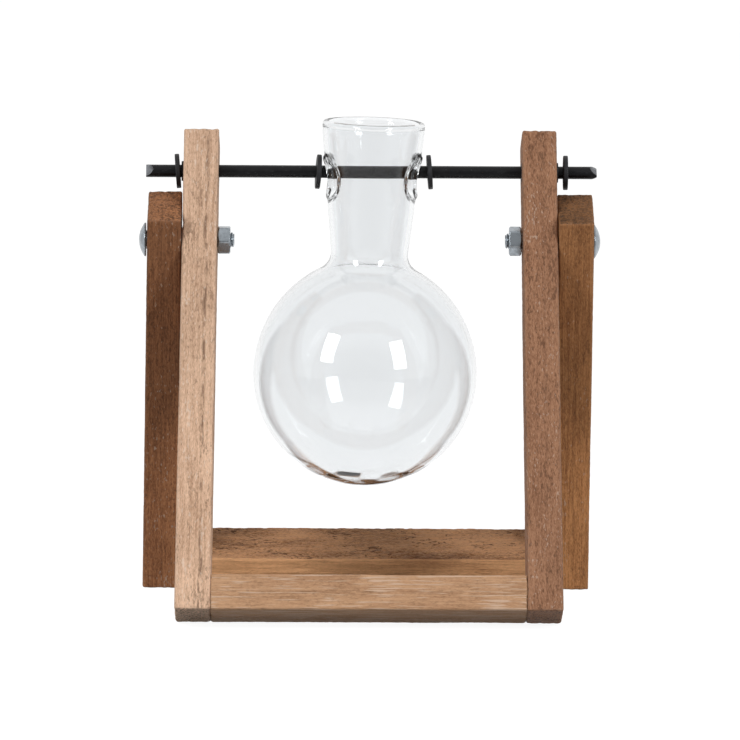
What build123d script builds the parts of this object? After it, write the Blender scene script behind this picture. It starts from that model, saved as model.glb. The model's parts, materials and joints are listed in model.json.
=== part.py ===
from build123d import *
from math import cos, radians, sin, sqrt, tan
import os

# A propagation vase: a blown glass flask hangs by two beaded holes in its neck on a steel rod,
# between the legs of a folding wooden stand. Lengths are in millimetres and angles in degrees.
# +X runs along the rod, +Y points to the back, and the origin is on the table, midway between the feet.

# Wooden stand: two frames, each of two legs and a crossbar, that cross at the pivot bolts
leg_width = 13.4
leg_depth = 25
lean = 20.8
splay = 0.6
foot_reach = 145.5
inner_leg_rise = 40
outer_leg_rise = 13.5
pivot_half_span = 57.7
leg_gap = 0.3
bar_height = 13.5
wood_edge_radius = 0.6

# Carriage bolts and hex nuts at the pivots
bolt_radius = 2.95
bolt_clearance = 0.1
bolt_protrusion = 1.5
bolt_tip_chamfer = 0.5
bolt_head_radius = 6.45
bolt_head_height = 2.7
bolt_head_rim = 0.5
square_neck_side = 5.9
square_neck_length = 3.2
square_neck_clearance = 0.05
nut_across_flats = 10
nut_height = 4.7
nut_corner_chamfer = 0.65
nut_clearance = 0.1
nut_bore_clearance = 0.05
nut_turn_left = 3
nut_turn_right = 30

# Countersunk wood screws that hold the crossbars
screw_radius = 1.6
screw_length = 28
screw_tip_length = 4
screw_tip_radius = 0.3
screw_head_radius = 3.1
screw_head_angle = 90
screw_sink = 0.3
screw_pitch = 12
screw_clearance = 0.05
screw_recess_width = 0.8
screw_recess_span = 3.4
screw_recess_depth = 1.1

# Hanging rod, its bushes and the rubber washers that grip it
rod_radius = 2.4
rod_rise = 27
rod_overhang_left = 13.5
rod_overhang_right = 14.7
rod_wedge_length = 2.6
rod_wedge_tip = 0.35
rod_wedge_turn_left = 28
rod_wedge_turn_right = 60
bush_radius = 3.8
bush_collar = 0.8
bush_clearance = 0.05
rod_clearance = 0.08
washer_radius = 6.55
washer_thickness = 1.6
washer_clearance = 0.1
washer_edge_radius = 0.25
outer_washer_left_gap = 0.6
neck_washer_left_gap = 2.1
neck_washer_right_gap = 3.4
outer_washer_right_gap = 2
outer_washer_left_lean = -4
neck_washer_left_lean = 4
neck_washer_right_lean = -4
outer_washer_right_lean = 0

# Glass flask: heights are above the rod's axis and drops below it, along the flask's own axis
flask_x = 0.9
flask_tilt = 1.55
glass_wall = 1.8
bulb_radius = 42.7
bulb_drop = 77.4
crown_radius = 45.1
base_radius = 6.6
base_thickness = 4
base_edge_radius = 5
floor_edge_radius = 9
shoulder_radius = 7
neck_foot_radius = 14.2
neck_top_radius = 19.5
neck_top_height = 14
rim_height = 17.8
rim_inset = 1.55
rim_tube_radius = 1.6
bead_circle_radius = 7.5
bead_tube_radius = 1.9
bead_inset = 1.5
hang_gap = 0.3

# How far a cutting tool runs past what it cuts
overrun = 2

# Places worked out from the sizes above
lean_sin = sin(radians(lean))
lean_cos = cos(radians(lean))
splay_slope = tan(radians(splay))
foot_rounding = wood_edge_radius * (lean_sin + lean_cos - 1)
pivot_z = foot_reach * lean_cos + leg_depth / 2 * lean_sin - foot_rounding
rod_y = rod_rise * lean_sin
rod_z = pivot_z + rod_rise * lean_cos
outer_half_span = pivot_half_span + leg_width + leg_gap
half_width = outer_half_span + leg_width
bar_top = bar_height - foot_reach
bar_middle = bar_height / 2 - foot_reach
head_seat_x = half_width + bolt_head_radius * splay_slope
nut_seat_x = pivot_half_span - nut_across_flats / 2 * splay_slope - nut_clearance
bolt_tip_x = nut_seat_x - nut_height - bolt_protrusion
bush_start_x = pivot_half_span - splay_slope * rod_rise
bush_end_x = bush_start_x + leg_width + bush_collar
rod_start_x = -bush_end_x - rod_overhang_left
rod_end_x = bush_end_x + rod_overhang_right
outer_washer_left_x = -bush_end_x - outer_washer_left_gap - washer_thickness / 2
outer_washer_right_x = bush_end_x + outer_washer_right_gap + washer_thickness / 2
hole_z = rod_z + rod_radius + hang_gap - bead_circle_radius + bead_tube_radius
crown_x = bulb_radius - crown_radius
neck_foot_height = sqrt(crown_radius**2 - (neck_foot_radius - crown_x) ** 2) - bulb_drop
neck_slope = (neck_top_radius - neck_foot_radius) / (neck_top_height - neck_foot_height)
bead_reach = neck_top_radius - neck_slope * neck_top_height - bead_inset + bead_tube_radius
neck_washer_left_x = flask_x - bead_reach - neck_washer_left_gap
neck_washer_right_x = flask_x + bead_reach + neck_washer_right_gap
rim_radius = neck_top_radius - rim_inset

# Each frame's own plane: x runs along the rod, y up the legs and z out of the frame's front face
front_plane = Plane(origin=(0, 0, pivot_z), x_dir=(1, 0, 0), z_dir=(0, -lean_cos, lean_sin))
rear_plane = Plane(origin=(0, 0, pivot_z), x_dir=(1, 0, 0), z_dir=(0, -lean_cos, -lean_sin))

# The plane of a section through the pivot bolts: x runs along them and y up
bolt_plane = Plane(origin=(0, 0, pivot_z), x_dir=(1, 0, 0), z_dir=(0, -1, 0))
bolt_axis = Axis((0, 0, pivot_z), (1, 0, 0))

# The plane of the flask's half section: x points out from its axis, to the back, and y up its axis
flask_up = (sin(radians(flask_tilt)), 0, cos(radians(flask_tilt)))
flask_plane = Plane(
    origin=(flask_x, rod_y, rod_z),
    x_dir=(0, 1, 0),
    z_dir=(cos(radians(flask_tilt)), 0, -sin(radians(flask_tilt))),
)
flask_axis = Axis((flask_x, rod_y, rod_z), flask_up)

# The upright plane through the rod, which halves the flask front from back
rod_wall = Plane(origin=(0, rod_y, 0), z_dir=(0, 1, 0))


def save(piece, name):
    """Labels a finished piece and writes its STEP file."""
    piece.part.label = name
    export_step(piece.part, f"parts/{name}.step")


def face_x(half_span, height):
    """Where a splayed leg's inner face stands, at a height above the pivot along its frame."""
    return half_span - splay_slope * height


def leg_corners(half_span, rise):
    """A right-hand leg's corners from the front: level ends, and sides that spread to the foot."""
    foot_x = face_x(half_span, -foot_reach)
    top_x = face_x(half_span, rise)
    return [
        (foot_x, -foot_reach),
        (foot_x + leg_width, -foot_reach),
        (top_x + leg_width, rise),
        (top_x, rise),
    ]


def crossbar_corners(half_span):
    """A crossbar's corners from the front, with ends that meet the legs' splayed inner faces."""
    foot_x = face_x(half_span, -foot_reach)
    top_x = face_x(half_span, bar_top)
    return [(-foot_x, -foot_reach), (foot_x, -foot_reach), (top_x, bar_top), (-top_x, bar_top)]


def drill_along_x(radius, y, z, start_x, end_x):
    """Cuts a round hole along X through the piece that is being built."""
    with BuildSketch(Plane.YZ.offset(start_x)) as hole:
        with Locations((y, z)):
            Circle(radius)
    extrude(hole.sketch, amount=end_x - start_x, mode=Mode.SUBTRACT)


def screw_seats(frame_plane, half_span):
    """The planes of the two screw heads in a right-hand leg, facing out of it."""
    head_x = face_x(half_span, bar_middle) + leg_width - screw_sink
    seats = []
    for side in (-1, 1):
        place = frame_plane.from_local_coords((head_x, bar_middle, side * screw_pitch / 2))
        seats.append(Plane(origin=place, x_dir=(0, 1, 0), z_dir=(1, 0, 0)))
    return seats


def drill_screw_holes(frame_plane, half_span):
    """Cuts the countersunk holes for the two screws of a right-hand joint."""
    with Locations(*screw_seats(frame_plane, half_span)):
        CounterSinkHole(
            radius=screw_radius + screw_clearance,
            counter_sink_radius=screw_head_radius + screw_clearance,
            depth=screw_length + screw_clearance,
            counter_sink_angle=screw_head_angle,
        )


def make_screws(frame_plane, half_span):
    """Makes the two countersunk screws of a right-hand joint, each with a cross recess."""
    head_depth = (screw_head_radius - screw_radius) / tan(radians(screw_head_angle / 2))
    top = (Align.CENTER, Align.CENTER, Align.MAX)
    shank_length = screw_length - screw_tip_length
    with BuildPart() as screws:
        with Locations(*screw_seats(frame_plane, half_span)):
            Cone(screw_radius, screw_head_radius, head_depth, align=top)
            Cylinder(screw_radius, shank_length, align=top)
            with Locations((0, 0, -shank_length)):
                Cone(screw_tip_radius, screw_radius, screw_tip_length, align=top)
            for turn in (0, 90):
                Box(
                    screw_recess_span,
                    screw_recess_width,
                    screw_recess_depth,
                    rotation=(0, 0, turn),
                    align=top,
                    mode=Mode.SUBTRACT,
                )
    return screws


def make_mirrored(piece):
    """Makes the left-hand twin of a right-hand piece."""
    with BuildPart() as twin:
        mirror(piece.part, about=Plane.YZ)
    return twin


def make_inner_leg():
    """Makes the right-hand inner leg, bored for its pivot bolt, rod bush and crossbar screws."""
    with BuildPart() as leg:
        with BuildSketch(front_plane):
            with BuildLine():
                Polyline(*leg_corners(pivot_half_span, inner_leg_rise), close=True)
            make_face()
        extrude(amount=leg_depth / 2, both=True)
        fillet(leg.edges(), wood_edge_radius)
        start_x = pivot_half_span - overrun
        end_x = outer_half_span + overrun
        drill_along_x(bolt_radius + bolt_clearance, 0, pivot_z, start_x, end_x)
        drill_along_x(bush_radius + bush_clearance, rod_y, rod_z, start_x, end_x)
        drill_screw_holes(front_plane, pivot_half_span)
    return leg


def make_outer_leg():
    """Makes the right-hand outer leg, with a square seat that keeps its bolt from turning."""
    with BuildPart() as leg:
        with BuildSketch(rear_plane):
            with BuildLine():
                Polyline(*leg_corners(outer_half_span, outer_leg_rise), close=True)
            make_face()
        extrude(amount=leg_depth / 2, both=True)
        fillet(leg.edges(), wood_edge_radius)
        drill_along_x(
            bolt_radius + bolt_clearance, 0, pivot_z, outer_half_span - overrun, half_width + overrun
        )
        with BuildSketch(Plane.YZ.offset(head_seat_x - square_neck_length - square_neck_clearance)):
            with Locations((0, pivot_z)):
                seat_side = square_neck_side + 2 * square_neck_clearance
                Rectangle(seat_side, seat_side, rotation=lean)
        extrude(amount=square_neck_length + overrun, mode=Mode.SUBTRACT)
        drill_screw_holes(rear_plane, outer_half_span)
    return leg


def make_crossbar(frame_plane, half_span):
    """Makes a crossbar of the legs' depth, bored at both ends for its screws."""
    with BuildPart() as bar:
        with BuildSketch(frame_plane):
            with BuildLine():
                Polyline(*crossbar_corners(half_span), close=True)
            make_face()
        extrude(amount=leg_depth / 2, both=True)
        fillet(bar.edges().filter_by(Axis.X), wood_edge_radius)
        drill_screw_holes(frame_plane, half_span)
        split(bisect_by=Plane.YZ)
        mirror(about=Plane.YZ)
    return bar


def make_bolt():
    """Makes the right-hand carriage bolt: domed head outside, square neck and chamfered tip."""
    dome_height = bolt_head_height - bolt_head_rim
    dome_radius = (bolt_head_radius**2 + dome_height**2) / (2 * dome_height)
    crown = head_seat_x + bolt_head_height
    with BuildPart() as bolt:
        with BuildSketch(bolt_plane):
            with BuildLine():
                Polyline(
                    (crown, 0),
                    (bolt_tip_x, 0),
                    (bolt_tip_x, bolt_radius - bolt_tip_chamfer),
                    (bolt_tip_x + bolt_tip_chamfer, bolt_radius),
                    (head_seat_x, bolt_radius),
                    (head_seat_x, bolt_head_radius),
                    (head_seat_x + bolt_head_rim, bolt_head_radius),
                )
                RadiusArc((head_seat_x + bolt_head_rim, bolt_head_radius), (crown, 0), dome_radius)
            make_face()
        revolve(axis=bolt_axis)
        with BuildSketch(Plane.YZ.offset(head_seat_x - square_neck_length)):
            with Locations((0, pivot_z)):
                Rectangle(square_neck_side, square_neck_side, rotation=lean)
        extrude(amount=square_neck_length)
    return bolt


def make_nut(turn):
    """Makes the right-hand hex nut, turned about its bolt, with its corners chamfered at both ends."""
    flat_radius = nut_across_flats / 2
    corner_radius = flat_radius / cos(radians(30))
    end_x = nut_seat_x - nut_height
    with BuildPart() as nut:
        with BuildSketch(Plane.YZ.offset(end_x)):
            with Locations((0, pivot_z)):
                RegularPolygon(flat_radius, side_count=6, major_radius=False, rotation=turn)
                Circle(bolt_radius + nut_bore_clearance, mode=Mode.SUBTRACT)
        extrude(amount=nut_height)
        with BuildSketch(bolt_plane):
            with BuildLine():
                Polyline(
                    (end_x, 0),
                    (end_x, flat_radius),
                    (end_x + nut_corner_chamfer, corner_radius),
                    (nut_seat_x - nut_corner_chamfer, corner_radius),
                    (nut_seat_x, flat_radius),
                    (nut_seat_x, 0),
                    close=True,
                )
            make_face()
        revolve(axis=bolt_axis, mode=Mode.INTERSECT)
    return nut


def make_rod():
    """Makes the rod, whose ends are nipped to a wedge as bolt cutters leave them."""
    with BuildPart() as rod:
        with BuildSketch(Plane.YZ.offset(rod_start_x)):
            with Locations((rod_y, rod_z)):
                Circle(rod_radius)
        extrude(amount=rod_end_x - rod_start_x)
        ends = (
            (rod_start_x, 1, rod_wedge_turn_left),
            (rod_end_x, -1, rod_wedge_turn_right),
        )
        for end_x, inward, turn in ends:
            end = Plane(
                origin=(end_x, rod_y, rod_z),
                x_dir=(inward, 0, 0),
                z_dir=(0, sin(radians(turn)), cos(radians(turn))),
            )
            with BuildSketch(end):
                with BuildLine():
                    Polyline(
                        (-overrun, rod_wedge_tip),
                        (0, rod_wedge_tip),
                        (rod_wedge_length, rod_radius),
                        (rod_wedge_length, rod_radius + overrun),
                        (-overrun, rod_radius + overrun),
                        close=True,
                    )
                make_face()
                mirror(about=Plane.XZ)
            extrude(amount=rod_radius + overrun, both=True, mode=Mode.SUBTRACT)
    return rod


def make_bush():
    """Makes the right-hand sleeve that lines the rod's bore and stands out of the leg as a collar."""
    with BuildPart() as bush:
        with BuildSketch(Plane.YZ.offset(bush_start_x)):
            with Locations((rod_y, rod_z)):
                Circle(bush_radius)
                Circle(rod_radius + rod_clearance, mode=Mode.SUBTRACT)
        extrude(amount=bush_end_x - bush_start_x)
    return bush


def make_washer(x, washer_lean):
    """Makes a rubber washer on the rod, leaning from upright by an angle about Y."""
    middle = Plane(
        origin=(x, rod_y, rod_z),
        x_dir=(0, 1, 0),
        z_dir=(cos(radians(washer_lean)), 0, -sin(radians(washer_lean))),
    )
    with BuildPart() as washer:
        with BuildSketch(middle):
            Circle(washer_radius)
            Circle(rod_radius + washer_clearance, mode=Mode.SUBTRACT)
        extrude(amount=washer_thickness / 2, both=True)
        rim_edges = washer.edges().filter_by(GeomType.CIRCLE).group_by(SortBy.RADIUS)[-1]
        fillet(rim_edges, washer_edge_radius)
    return washer


def draw_flask_wall():
    """Draws the half section of the glass: flat base, bulb, conical neck and thick round rim."""
    base_y = -bulb_drop - sqrt(bulb_radius**2 - base_radius**2)
    floor_y = base_y + base_thickness
    inner_bulb = bulb_radius - glass_wall
    inner_crown = crown_radius - glass_wall
    inner_foot_radius = neck_foot_radius - glass_wall
    inner_top_radius = neck_top_radius - glass_wall
    floor_radius = sqrt(inner_bulb**2 - (floor_y + bulb_drop) ** 2)
    inner_foot_height = sqrt(inner_crown**2 - (inner_foot_radius - crown_x) ** 2) - bulb_drop
    rim_outer_y = rim_height - sqrt(rim_tube_radius**2 - (neck_top_radius - rim_radius) ** 2)
    rim_inner_y = rim_height - sqrt(rim_tube_radius**2 - (rim_radius - inner_top_radius) ** 2)
    with BuildSketch(flask_plane) as wall:
        with BuildLine():
            Line((0, floor_y), (0, base_y))
            Line((0, base_y), (base_radius, base_y))
            RadiusArc((base_radius, base_y), (bulb_radius, -bulb_drop), -bulb_radius)
            RadiusArc((bulb_radius, -bulb_drop), (neck_foot_radius, neck_foot_height), -crown_radius)
            Polyline(
                (neck_foot_radius, neck_foot_height),
                (neck_top_radius, neck_top_height),
                (neck_top_radius, rim_outer_y),
            )
            ThreePointArc(
                (neck_top_radius, rim_outer_y),
                (rim_radius, rim_height + rim_tube_radius),
                (inner_top_radius, rim_inner_y),
            )
            Polyline(
                (inner_top_radius, rim_inner_y),
                (inner_top_radius, neck_top_height),
                (inner_foot_radius, inner_foot_height),
            )
            RadiusArc((inner_foot_radius, inner_foot_height), (inner_bulb, -bulb_drop), inner_crown)
            RadiusArc((inner_bulb, -bulb_drop), (floor_radius, floor_y), inner_bulb)
            Line((floor_radius, floor_y), (0, floor_y))
        make_face()
        corners = (
            (neck_foot_radius, neck_foot_height, shoulder_radius),
            (inner_foot_radius, inner_foot_height, shoulder_radius + glass_wall),
            (base_radius, base_y, base_edge_radius),
            (floor_radius, floor_y, floor_edge_radius),
        )
        for x, y, corner_radius in corners:
            fillet(wall.vertices().sort_by_distance((x, y, 0))[0], corner_radius)
    return wall.sketch


def bead_path(side):
    """The back half of a bead's saddle-shaped ring, where a tube along X meets the neck's cone."""
    low = neck_foot_height
    high = neck_top_height
    with BuildPart() as plug:
        with BuildSketch(flask_plane):
            with BuildLine():
                Polyline(
                    (0, low),
                    (neck_foot_radius - bead_inset, low),
                    (neck_top_radius - bead_inset, high),
                    (0, high),
                    close=True,
                )
            make_face()
        revolve(axis=flask_axis)
        with BuildSketch(Plane.YZ.offset(flask_x)):
            with Locations((rod_y, hole_z)):
                Circle(bead_circle_radius)
        extrude(amount=side * (neck_top_radius + overrun), mode=Mode.INTERSECT)
        split(bisect_by=rod_wall)
    return plug.faces().filter_by(GeomType.CONE)[0].edges().sort_by(SortBy.LENGTH)[-1]


def make_bead(side):
    """Makes the round bead of glass about one of the neck's holes, the front half by mirroring."""
    path = bead_path(side)
    with BuildPart() as bead:
        with BuildSketch(Plane(origin=path @ 0, z_dir=path % 0)):
            Circle(bead_tube_radius)
        sweep(path=path)
        mirror(about=rod_wall)
    return bead


def make_flask():
    """Makes the blown flask, pierced through its neck, with a round bead about each hole."""
    with BuildPart() as flask:
        revolve(draw_flask_wall(), axis=flask_axis)
        reach = neck_top_radius + overrun
        drill_along_x(bead_circle_radius, rod_y, hole_z, flask_x - reach, flask_x + reach)
        for side in (-1, 1):
            add(make_bead(side).part)
    return flask


os.makedirs("parts", exist_ok=True)

inner_leg_right = make_inner_leg()
outer_leg_right = make_outer_leg()
front_screws_right = make_screws(front_plane, pivot_half_span)
rear_screws_right = make_screws(rear_plane, outer_half_span)
pivot_bolt_right = make_bolt()
rod_bush_right = make_bush()

save(inner_leg_right, "inner_leg_right")
save(make_mirrored(inner_leg_right), "inner_leg_left")
save(outer_leg_right, "outer_leg_right")
save(make_mirrored(outer_leg_right), "outer_leg_left")
save(make_crossbar(front_plane, pivot_half_span), "front_crossbar")
save(make_crossbar(rear_plane, outer_half_span), "rear_crossbar")
save(front_screws_right, "front_screws_right")
save(make_mirrored(front_screws_right), "front_screws_left")
save(rear_screws_right, "rear_screws_right")
save(make_mirrored(rear_screws_right), "rear_screws_left")
save(pivot_bolt_right, "pivot_bolt_right")
save(make_mirrored(pivot_bolt_right), "pivot_bolt_left")
save(make_nut(nut_turn_right), "hex_nut_right")
save(make_mirrored(make_nut(nut_turn_left)), "hex_nut_left")
save(rod_bush_right, "rod_bush_right")
save(make_mirrored(rod_bush_right), "rod_bush_left")
save(make_rod(), "hanging_rod")
save(make_washer(outer_washer_left_x, outer_washer_left_lean), "outer_washer_left")
save(make_washer(neck_washer_left_x, neck_washer_left_lean), "neck_washer_left")
save(make_washer(neck_washer_right_x, neck_washer_right_lean), "neck_washer_right")
save(make_washer(outer_washer_right_x, outer_washer_right_lean), "outer_washer_right")
save(make_flask(), "glass_flask")
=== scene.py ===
import json
import math

import bmesh
import bpy
import numpy as np
from bpy.props import FloatProperty, FloatVectorProperty, IntProperty, PointerProperty
from bpy.types import Operator, Panel, PropertyGroup
from mathutils import Matrix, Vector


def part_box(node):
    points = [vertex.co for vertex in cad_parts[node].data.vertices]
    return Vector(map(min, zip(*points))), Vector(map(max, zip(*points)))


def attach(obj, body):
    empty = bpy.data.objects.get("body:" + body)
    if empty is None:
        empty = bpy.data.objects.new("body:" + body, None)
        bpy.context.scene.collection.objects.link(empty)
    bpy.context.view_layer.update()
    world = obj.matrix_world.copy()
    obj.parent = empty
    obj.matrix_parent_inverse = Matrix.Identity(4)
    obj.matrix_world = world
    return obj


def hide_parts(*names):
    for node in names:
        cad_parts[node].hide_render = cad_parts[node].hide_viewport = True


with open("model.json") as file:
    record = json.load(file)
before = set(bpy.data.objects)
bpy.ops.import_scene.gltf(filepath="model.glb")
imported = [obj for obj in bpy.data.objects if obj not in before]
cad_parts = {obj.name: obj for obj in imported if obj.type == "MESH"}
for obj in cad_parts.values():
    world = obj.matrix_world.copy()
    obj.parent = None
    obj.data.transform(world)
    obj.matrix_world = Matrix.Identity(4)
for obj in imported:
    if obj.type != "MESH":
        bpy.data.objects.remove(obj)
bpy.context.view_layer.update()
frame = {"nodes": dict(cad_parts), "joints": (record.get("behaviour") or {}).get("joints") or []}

bl_info = {
    "name": "Propagation vase",
    "version": (1, 0, 0),
    "blender": (4, 5, 0),
    "location": "3D View > Sidebar > Vase",
    "description": "Dresses the packed model of a glass flask that hangs in a folding wooden stand",
    "category": "Add Mesh",
}

JOINTS = {joint["name"]: joint for joint in frame["joints"]}
MM = 0.001
TURN = 2 * math.pi

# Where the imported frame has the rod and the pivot, in millimetres
ROD_Y, ROD_Z = (v / MM for v in JOINTS["rod_spin"]["pos_m"][1:])
PIVOT_Z = JOINTS["frame_fold"]["pos_m"][2] / MM


def box_mm(node):
    """A CAD node's lowest and highest corners in millimetres."""
    low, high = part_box(node)
    return np.array(low) / MM, np.array(high) / MM


# Properties


def length(name, description, millimetres):
    """A length, whose default is given in millimetres and kept in metres."""
    return FloatProperty(name=name, description=description, default=millimetres * MM,
                         min=0.0, unit="LENGTH", precision=5)


def bearing(name, description, degrees):
    """An angle, whose default is given in degrees."""
    return FloatProperty(name=name, description=description, default=math.radians(degrees),
                         unit="ROTATION")


def share(name, description, default):
    """A plain number from 0 up."""
    return FloatProperty(name=name, description=description, default=default, min=0.0)


def linear(red, green, blue):
    """A colour in sRGB from 0 to 255, as the linear values that sockets and properties hold."""
    part = np.array((red, green, blue)) / 255
    return tuple(np.where(part <= 0.04045, part / 12.92, ((part + 0.055) / 1.055) ** 2.4).tolist())


def colour(name, description, red, green, blue):
    """A colour, whose default is given in sRGB from 0 to 255."""
    return FloatVectorProperty(name=name, description=description, subtype="COLOR", size=3,
                               default=linear(red, green, blue), min=0.0, max=1.0)


class FlaskSettings(PropertyGroup):
    """The blown flask: its outline, the holes in its neck and its glass."""
    wall: length("Wall", "Thickness of the wall", 1.8)
    bulb_radius: length("Bulb radius", "Outside radius of the bulb's lower half", 42.7)
    crown_radius: length("Crown radius", "Radius of the arc from the widest place to the neck",
                         45.1)
    bulb_drop: length("Bulb drop", "How far the bulb's middle hangs under the rod", 77.4)
    neck_foot: length("Neck foot", "Radius where the neck's line meets the crown", 14.2)
    neck_top: length("Neck top", "Radius of the neck under the rim", 19.5)
    neck_top_height: length("Neck height", "Top of the straight taper, above the rod", 15)
    shoulder: length("Shoulder", "Radius of the hollow between crown and neck", 7)
    rim_height: length("Rim height", "Middle of the rounded rim, above the rod", 18.2)
    rim_tube: length("Rim tube", "Radius of the rounded rim's section", 1.2)
    rim_inset: length("Rim inset", "Middle of the rim's section, in from the neck's side", 1.15)
    base_radius: length("Base radius", "Where the flat base would cut the bulb", 6.6)
    base_thickness: length("Base", "Thickness of the base in the middle", 2.5)
    base_edge: length("Base edge", "Rounding of the base outside", 6)
    floor_edge: length("Floor edge", "Rounding of the floor inside", 10)
    hole_radius: length("Hole radius", "Circle that the bead about a hole follows", 6.95)
    hole_drop: length("Hole drop", "Middle of a hole, under the rod's middle", 1.97)
    bead: length("Bead", "Radius of the bead's section", 2.3)
    bead_inset: length("Bead inset", "Middle of the bead's section, in from the outside", 1.7)
    offset: length("Offset", "Flask's axis, to the right of the middle", 0.9)
    tilt: bearing("Tilt", "Lean of the flask's axis to the right", 1.7)
    unevenness: length("Unevenness", "How far the blown wall strays", 0.05)
    base_swirl: length("Base swirl", "How far the floor inside strays", 0.18)
    tint: colour("Tint", "Colour that one wall lends to what is seen through it", 241.5, 243, 244)


class HardwareSettings(PropertyGroup):
    """The rod, the washers and bushes, the bolts and the nuts."""
    rod_radius: length("Rod radius", "Radius of the rod", 2.4)
    wedge_length: length("Nip length", "How far the cutters' nip runs along the rod", 2.6)
    wedge_tip: length("Nip edge", "Half thickness of the rod's end", 0.35)
    wedge_left: bearing("Left nip", "Turn of the left nip's edge from upright, backwards", 28)
    wedge_right: bearing("Right nip", "Turn of the right nip's edge from upright, backwards", 60)
    washer_radius: length("Washer radius", "Outside radius of the washers", 6.55)
    washer_bore: length("Washer bore", "Radius of the washers' bore", 2.5)
    washer_thickness: length("Washer thickness", "Thickness of the washers", 1.72)
    bush_radius: length("Bush radius", "Outside radius of the rod bushes", 3.78)
    bush_bore: length("Bush bore", "Radius of the bushes' bore", 2.48)
    head_radius: length("Head radius", "Radius of the bolts' round heads", 6.45)
    head_height: length("Head height", "Height of the bolts' round heads", 2.7)
    head_rim: length("Head rim", "Height of the straight edge under the dome", 0.5)
    bolt_radius: length("Bolt radius", "Radius of the bolts' shanks", 2.95)
    neck_side: length("Square neck", "Side of the square neck", 5.9)
    neck_length: length("Neck length", "Length of the square neck", 3.2)
    neck_turn: bearing("Neck turn", "Turn of the square neck, with the leg", 20.8)
    thread_pitch: length("Thread pitch", "Pitch of the bolts' threads", 1.0)
    thread_depth: length("Thread depth", "Depth of the bolts' threads", 0.5)
    thread_length: length("Thread length", "Length of the bolts' threads", 8.5)
    nut_flats: length("Nut across flats", "Width of the nuts across their flats", 10)
    nut_left: bearing("Left nut", "Turn of the left nut", 1)
    nut_right: bearing("Right nut", "Turn of the right nut", 13)
    zinc: colour("Zinc", "Plate on bolts and nuts", 158, 165, 171)
    steel: colour("Screws", "Plate on the wood screws", 74, 70, 66)
    lacquer: colour("Rod", "Lacquer on the rod", 10, 10, 12)
    bare: colour("Bare steel", "Nipped faces of the rod", 130, 132, 136)
    rubber: colour("Rubber", "Washers and bushes", 25, 25, 28)


class WoodSettings(PropertyGroup):
    """The sawn boards and their colours."""
    mesh: length("Mesh", "Size of a board's faces", 0.42)
    proud: length("Proud", "How far a smooth face may stand out, so that legs pass", 0.02)
    seed: IntProperty(name="Seed", description="Changes the boards' small unevenness", default=3)
    inner_left: colour("Inner left leg", "Colour of the inner left leg", 210, 176, 149)
    inner_right: colour("Inner right leg", "Colour of the inner right leg", 155, 113, 85)
    front_bar: colour("Front crossbar", "Colour of the front crossbar", 188, 148, 114)
    outer_left: colour("Outer left leg", "Colour of the outer left leg", 133, 90, 60)
    outer_right: colour("Outer right leg", "Colour of the outer right leg", 163, 114, 73)
    rear_bar: colour("Rear crossbar", "Colour of the rear crossbar", 226, 172, 124)
    weathered: colour("Weathered face", "Colour of the rear crossbar's rough top", 177, 132, 95)


class StageSettings(PropertyGroup):
    """The light, the floor and the camera."""
    lamp_power: FloatProperty(name="Lamps", description="Power of each soft box", default=8.3,
                              min=0.0, unit="POWER")
    lamp_width: length("Lamp width", "Width of a soft box", 350)
    lamp_height: length("Lamp height", "Height of a soft box", 700)
    lamp_distance: length("Lamp distance", "From a soft box to the flask", 1500)
    sky: share("Sky", "Light from all round", 0.4)
    room: share("Room", "How bright the room before the object looks in shiny things", 0.4)
    floor: share("Floor", "Paleness of the floor as a lit surface", 0.27)
    glow: share("Glow", "What the floor's own white adds where it is seen", 0.92)
    lens: FloatProperty(name="Lens", description="Focal length in millimetres on 36 mm film",
                        default=327.35, min=1.0)
    distance: length("Distance", "From the camera to the middle of the picture", 2560.5)
    pitch: bearing("Pitch", "How far the camera looks down", 7.224)
    yaw: bearing("Yaw", "How far the camera looks to the right", 0.475)
    roll: bearing("Roll", "Turn of the camera about its view", 0.33)


def settings(group):
    """The scene's values of one property group."""
    return getattr(bpy.context.scene, group)


class Sizes:
    """A property group's lengths in millimetres; its angles and numbers as they are."""

    def __init__(self, group):
        for name, prop in group.bl_rna.properties.items():
            if prop.type == "FLOAT" and not prop.is_array:
                value = getattr(group, name)
                setattr(self, name, value / MM if prop.unit == "LENGTH" else value)


# Meshes


def grid_faces(rows, columns, wrap_rows=False, wrap_columns=False):
    """The four-cornered faces of a grid of points that are numbered row by row."""
    return loop_faces(np.arange(rows * columns).reshape(rows, columns), wrap_rows, wrap_columns)


def loop_faces(number, wrap_rows=False, wrap_columns=False):
    """The four-cornered faces between neighbours in an array of point numbers."""
    if wrap_rows:
        number = np.vstack([number, number[:1]])
    if wrap_columns:
        number = np.hstack([number, number[:, :1]])
    corners = number[:-1, :-1], number[:-1, 1:], number[1:, 1:], number[1:, :-1]
    return np.stack([c.ravel() for c in corners], axis=1)


def set_marks(mesh, **marks):
    """Stores numbers on a mesh's points, under the given names, for its material to read."""
    for title, values in marks.items():
        kind, field = ("FLOAT_VECTOR", "vector") if values.ndim == 2 else ("FLOAT", "value")
        layer = mesh.attributes.new(title, kind, "POINT")
        layer.data.foreach_set(field, values.astype(np.float32).ravel())


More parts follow.
